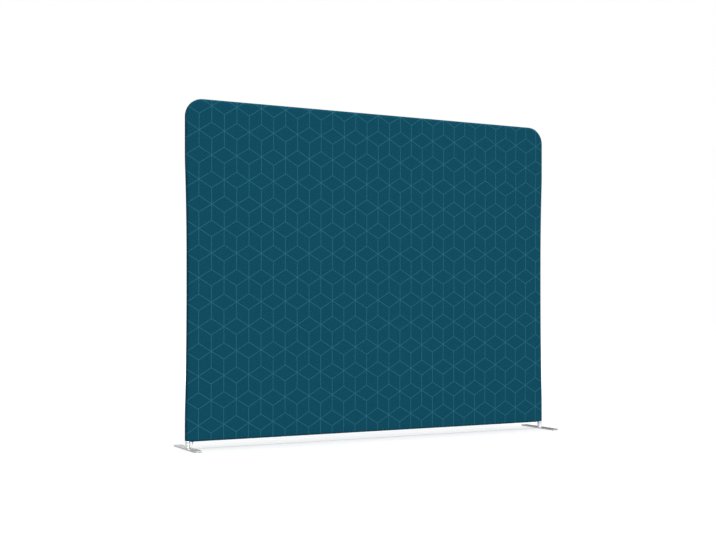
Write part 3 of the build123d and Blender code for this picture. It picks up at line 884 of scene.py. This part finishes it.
def make_thread():
    """Polyester sewing thread, dyed to match, with the twist of its plies and painted shade in the grooves
    between them.
    """
    recipe = Recipe("sewing_thread", {"Roughness": 0.55, "Sheen Weight": 0.15})
    phase = recipe.place((2 * pi / twist_along, 2 * pi / twist_across, 0))
    turns = recipe.add("ShaderNodeSeparateXYZ", phase)
    twist = recipe.math("SINE", recipe.math("ADD", turns.outputs[0], turns.outputs[1]))
    ply = recipe.wave_height(twist, 1.0)
    # Painted shade: the thread is darker in the grooves between its plies and lighter on their crowns.
    recipe.colour(recipe.mix(ply, srgb(14, 60, 78), srgb(30, 92, 112)))
    recipe.bump(ply, thread_relief)
    return recipe.finished()


sewing_thread = make_thread()

# %% [markdown]
# The two rows along the zip are straight, so one stitch on each side is doubled again and again, as the
# coil was. Each lies on the cover's skin, at the height that the roll has there.

# %% Sew the rows
stitch_half = (0.95 * mm, 0.3 * mm, 0.25 * mm)
seam_y = 5.6 * mm
seam_doublings = 10
seam_pitch = 2 * hem_start_x / 2**seam_doublings


def add_stitch(bm, middle, along):
    """One stitch, drawn out along its row."""
    turn = Vector((1, 0, 0)).rotation_difference(along).to_matrix().to_4x4()
    shape = Matrix.Translation(middle) @ turn @ Matrix.Diagonal((*stitch_half, 1))
    bmesh.ops.create_icosphere(bm, subdivisions=1, radius=1.0, matrix=shape)


stitches = bmesh.new()
seam_z = roll_z - sqrt(roll_radius**2 - seam_y**2)
for y in (-seam_y, seam_y):
    add_stitch(stitches, Vector((-hem_start_x + seam_pitch / 2, y, seam_z)), Vector((1, 0, 0)))
repeat_along_x(stitches, seam_pitch, seam_doublings)
finish_piece(stitches, "zip_seam_threads", "screen", sewing_thread)

# %% [markdown]
# The hems over the feet follow a skin that turns round the upright as it climbs, so their stitches are
# set one by one. Each joins two points of the row, both taken from the skin's own height and depth.

# %% Sew the hems over the feet
hem_row = 5 * mm
hem_stitches = 11


def surface_y(x, z):
    """How far the cover's skin stands out from the middle plane near its bottom corners."""
    from_tube = side_x - abs(x)
    round_tube = sqrt(max(roll_radius**2 - from_tube**2, 0))
    if from_tube < 0:
        return round_tube
    return max(round_tube, sqrt(max(roll_radius**2 - max(roll_z - z, 0) ** 2, 0)))


hem_threads = bmesh.new()
for side in (-1, 1):
    for face in (-1, 1):
        row = []
        for k in range(hem_stitches + 1):
            x = hem_start_x + (half_width - hem_start_x) * k / hem_stitches
            z = floor_gap + hem_rise * (x - hem_start_x) / (half_width - hem_start_x) + hem_row
            row.append(Vector((side * x, face * surface_y(x, z), z)))
        for start, end in zip(row, row[1:]):
            add_stitch(hem_threads, (start + end) / 2, (end - start).normalized())
finish_piece(hem_threads, "hem_threads", "screen", sewing_thread)

# %% [markdown]
# ## Finishes for the metal and plastic parts
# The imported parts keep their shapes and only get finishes. Drawn tube, ground plate and turned post are
# all metal with fine lines in one direction, so one recipe makes them: noise squeezed along the lines,
# which moves the colour, the roughness and a very shallow relief. What differs is the way the lines
# run, how dark the metal is and how far it was polished.

# %% Make the metals
handling_scale = 18.0
tone_range = (0.35, 0.65)


def lined_metal(name, dark, light, roughness, stretch, grain, depth=0.01 * mm, metallic=1.0):
    """Metal whose fine lines run along the axis that the stretch squeezes, clouded by handling."""
    recipe = Recipe(name, {"Metallic": metallic})
    lines = recipe.noise(recipe.place(stretch), grain, 4.0, 0.6)
    clouds = recipe.noise(recipe.place(), handling_scale, 3.0)
    mixed = recipe.math("MULTIPLY", recipe.math("ADD", lines, clouds), 0.5)
    recipe.colour(recipe.mix(recipe.ramp(mixed, *tone_range), srgb(*dark), srgb(*light)))
    recipe.rough(recipe.between(mixed, *roughness))
    recipe.bump(lines, depth)
    return recipe.finished()


along_x, along_y, along_z = (0.02, 1, 1), (1, 0.02, 1), (1, 1, 0.02)
round_z = (0.05, 0.05, 1)
evenly = (1, 1, 1)
aluminium = (205, 207, 210), (228, 229, 231)
rivet_tones = (190, 191, 194), (220, 221, 223)
spring_tones = (165, 167, 170), (200, 202, 205)
plate_tones = (172, 173, 174), (200, 201, 202)
post_tones = (196, 198, 201), (224, 225, 227)
zinc_tones = (150, 154, 160), (196, 199, 204)
upright_tube = lined_metal("drawn_upright_tube", *aluminium, (0.26, 0.4), along_z, 900.0)
rail_tube = lined_metal("drawn_rail_tube", *aluminium, (0.26, 0.4), along_x, 900.0)
bent_tube = lined_metal("bent_corner_tube", *aluminium, (0.28, 0.42), evenly, 500.0)
coupler_metal = lined_metal("coupler_tube", *aluminium, (0.3, 0.45), evenly, 700.0)
rivet_metal = lined_metal("rivet_aluminium", *rivet_tones, (0.3, 0.5), evenly, 1500.0)
spring_metal = lined_metal("spring_steel", *spring_tones, (0.2, 0.35), along_x, 1200.0)
plate_metal = lined_metal(
    "silver_plate_steel", *plate_tones, (0.3, 0.4), along_y, 700.0, depth=0.02 * mm, metallic=0.6
)
post_metal = lined_metal("turned_post_steel", *post_tones, (0.12, 0.24), round_z, 900.0, metallic=0.65)
screw_metal = lined_metal("zinc_screw", *zinc_tones, (0.25, 0.45), evenly, 900.0)

# %% [markdown]
# What isn't bare metal is moulded or lacquered: rubber pads with a dull, slightly pitted skin, nylon
# bushes with the faint flow of the mould, and zip parts lacquered to match the cloth, where the lacquer
# has rubbed through on the ridges. The lacquer's wear is a mix by noise between paint and metal.

# %% Make the moulded and lacquered finishes
flow_scale = 40.0
rub_scale, rub_range = 900.0, (0.66, 0.74)


def moulded(name, dark, light, roughness, grain, depth):
    """Black rubber or plastic, moulded with a fine grain."""
    recipe = Recipe(name, {"Specular IOR Level": 0.4})
    pits = recipe.noise(recipe.place(), grain, 4.0, 0.6)
    flow = recipe.noise(recipe.place(), flow_scale, 2.0)
    recipe.colour(recipe.mix(flow, srgb(*dark), srgb(*light)))
    recipe.rough(recipe.between(flow, *roughness))
    recipe.bump(pits, depth)
    return recipe.finished()


def make_lacquer():
    """Zinc zip parts under a dark blue-green lacquer, rubbed bright in small spots."""
    recipe = Recipe("lacquered_zip", {"Coat Weight": 0.3, "Coat Roughness": 0.2})
    rub = recipe.ramp(recipe.noise(recipe.place(), rub_scale, 4.0, 0.65), *rub_range)
    recipe.colour(recipe.mix(rub, srgb(20, 62, 76), srgb(176, 178, 182)))
    recipe.fill(recipe.shader.inputs["Metallic"], rub)
    recipe.rough(recipe.between(rub, 0.45, 0.3))
    return recipe.finished()


rubber = moulded("black_rubber", (22, 22, 22), (38, 38, 38), (0.7, 0.9), 1500.0, 0.06 * mm)
nylon = moulded("black_nylon", (26, 26, 27), (40, 40, 42), (0.35, 0.5), 2500.0, 0.02 * mm)
lacquer = make_lacquer()

# %% [markdown]
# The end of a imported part's name says which finish it gets. Where two endings fit, the later and more
# exact one holds. Parts that a new piece stands for are left out.

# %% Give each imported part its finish
finishes = (
    ("_upright", upright_tube), ("_stile", upright_tube), ("_tee", rail_tube), ("_rail", rail_tube),
    ("_stub", rail_tube), ("corner_tube", bent_tube), ("coupler", coupler_metal),
    ("couplers", coupler_metal), ("coupler_rivets", rivet_metal), ("_button", spring_metal),
    ("spring_legs", spring_metal), ("_plate", plate_metal), ("_post", post_metal),
    ("_screw", screw_metal), ("_pads", rubber), ("_bush", nylon), ("slider", lacquer),
    ("pull", lacquer), ("stops", lacquer),
)
replaced = {n for o in bpy.data.objects for n in o.get("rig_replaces", [])}
for name, node in nodes.items():
    if name in replaced:
        continue
    finish = [material for ending, material in finishes if name.endswith(ending)][-1]
    for place in node.material_slots:
        place.material = finish
print("finished", len(nodes) - len(replaced), "packed parts")

# %% [markdown]
# ## The background
# The photograph has a pure white ground, and rolled edges that are dark, which a white sky all round
# would light up. So the world is white for the camera, for mirrors and for glass, while the light that
# it sheds is weaker, and brighter from the front and above than from behind. The Light Path node tells
# the two kinds of ray apart.

# %% Set the world
scene = bpy.context.scene
scene.view_settings.view_transform = "Standard"
sky_level = 0.3
sky_slope = 0.28
bright_way = Vector((0.1, -0.86, 0.5))


def seen_directly(nodes):
    """1 for rays from the camera, mirrors and glass, and 0 for those that only carry light."""
    path = nodes.add("ShaderNodeLightPath").outputs
    mirrored = nodes.math("MAXIMUM", path["Is Camera Ray"], path["Is Glossy Ray"])
    return nodes.math("MAXIMUM", mirrored, path["Is Transmission Ray"])


def level_by_ray(nodes, unseen, seen):
    """A level that differs for seen rays and for those that light the object."""
    return nodes.between(seen_directly(nodes), unseen, seen)


def sloping_sky(nodes):
    """The sky's level for light: more from the bright way, less from the other side."""
    way = nodes.add("ShaderNodeTexCoord").outputs["Generated"]
    towards = nodes.vector("DOT_PRODUCT", way, bright_way)
    levels = (sky_level - sky_slope, sky_level + sky_slope)
    return nodes.add("ShaderNodeMapRange", towards, -1.0, 1.0, *levels).outputs[0]


world = bpy.data.worlds.new("studio")
world.use_nodes = True
sky = world.node_tree.nodes["Background"]
sky.inputs["Color"].default_value = (1, 1, 1, 1)
sky_nodes = Nodes(world.node_tree)
sky_nodes.fill(sky.inputs["Strength"], level_by_ray(sky_nodes, sloping_sky(sky_nodes), 1.0))
scene.world = world
print("sky light", sky_level, "on average, sloping by", sky_slope)

# %% [markdown]
# The ground shows one thin soft shadow just in front of the panel's foot. The floor is therefore lit like
# any other surface, and for the camera's own rays a little light of its own lifts it to white, so that
# only the darkest of the shadow still shows. Far from the object, where the lamps don't reach, its own
# light makes up for them. It throws back less light than it shows, which keeps the edges dark.

# %% Set the floor
floor_size = 60.0
floor_grey = 0.8
floor_bounce = 0.3
floor_own_light = 0.28
far_own_light = 0.62
far_start, far_end = 1.6, 7.0


def make_floor():
    """A pale floor that the camera sees as white where nothing shades it."""
    dull_white = {"Roughness": 0.9, "Specular IOR Level": 0.0, "Emission Color": (1, 1, 1, 1)}
    recipe = Recipe("floor_white", dull_white)
    far = recipe.ramp(recipe.vector("LENGTH", recipe.place()), far_start, far_end)
    own_light = level_by_ray(recipe, 0.0, recipe.between(far, floor_own_light, far_own_light))
    recipe.fill(recipe.shader.inputs["Emission Strength"], own_light)
    recipe.colour(level_by_ray(recipe, floor_bounce, floor_grey))
    bm = bmesh.new()
    bmesh.ops.create_grid(bm, x_segments=1, y_segments=1, size=floor_size / 2)
    floor = into_scene(bm, "floor", recipe.finished())


make_floor()

# %% [markdown]
# A wide light far off in front gives the printed face its even tone, and comes in so low that its shadow
# runs away behind the panel. One soft box lights the back. The other hangs high above the panel, and
# its soft shadow is the thin band that the photograph shows. The right foot is the darker one there,
# so a dark card stands where that foot mirrors it, as one is set beside bright metal in a studio.

# %% Set the lamps
def add_lamp(name, kind, way, power):
    """A lamp that shines from the given way."""
    lamp = bpy.data.objects.new(name, bpy.data.lights.new(name, kind))
    lamp.data.energy = power
    lamp.rotation_euler = Vector(way).to_track_quat("Z", "Y").to_euler()
    scene.collection.objects.link(lamp)
    return lamp


def soft_box(name, place, aim, size, power):
    """An oblong studio lamp that faces a point, and doesn't show in metal."""
    lamp = add_lamp(name, "AREA", Vector(place) - Vector(aim), power)
    lamp.data.shape = "RECTANGLE"
    lamp.data.size, lamp.data.size_y = size
    lamp.location = place
    lamp.visible_glossy = False


def far_soft_light(name, way, power, degrees_wide):
    """A wide studio light so far off that it lights the whole panel evenly, from the given way."""
    add_lamp(name, "SUN", way, power).data.angle = radians(degrees_wide)


def dark_card(place, aim, width, height):
    """A black card that is seen in reflections alone."""
    bm = bmesh.new()
    bmesh.ops.create_grid(bm, x_segments=1, y_segments=1, size=0.5)
    bmesh.ops.scale(bm, vec=(width, height, 1), verts=bm.verts)
    turn = (Vector(aim) - Vector(place)).to_track_quat("Z", "Y").to_matrix().to_4x4()
    bmesh.ops.transform(bm, matrix=Matrix.Translation(place) @ turn, verts=bm.verts)
    black = {"Base Color": srgb(24, 24, 24), "Roughness": 1.0, "Specular IOR Level": 0.0}
    card = into_scene(bm, "dark_card", Recipe("card_black", black).finished())
    card.visible_camera = card.visible_diffuse = card.visible_shadow = card.visible_transmission = False


panel_middle = (0, 0, 1.0)
floor_middle = (0, 0, 0)
right_foot = (1.23, 0, 0)
dark_card(place=(3.4, 2.9, 1.1), aim=right_foot, width=3.6, height=2.2)
far_soft_light("front_light", way=(0.14, -0.97, 0.17), power=1.9, degrees_wide=25)
soft_box("back_light", place=(-2.0, 10.0, 1.6), aim=panel_middle, size=(4.0, 4.0), power=540)
soft_box("shadow_light", place=(0, 0.15, 12.0), aim=floor_middle, size=(4.0, 2.3), power=800)
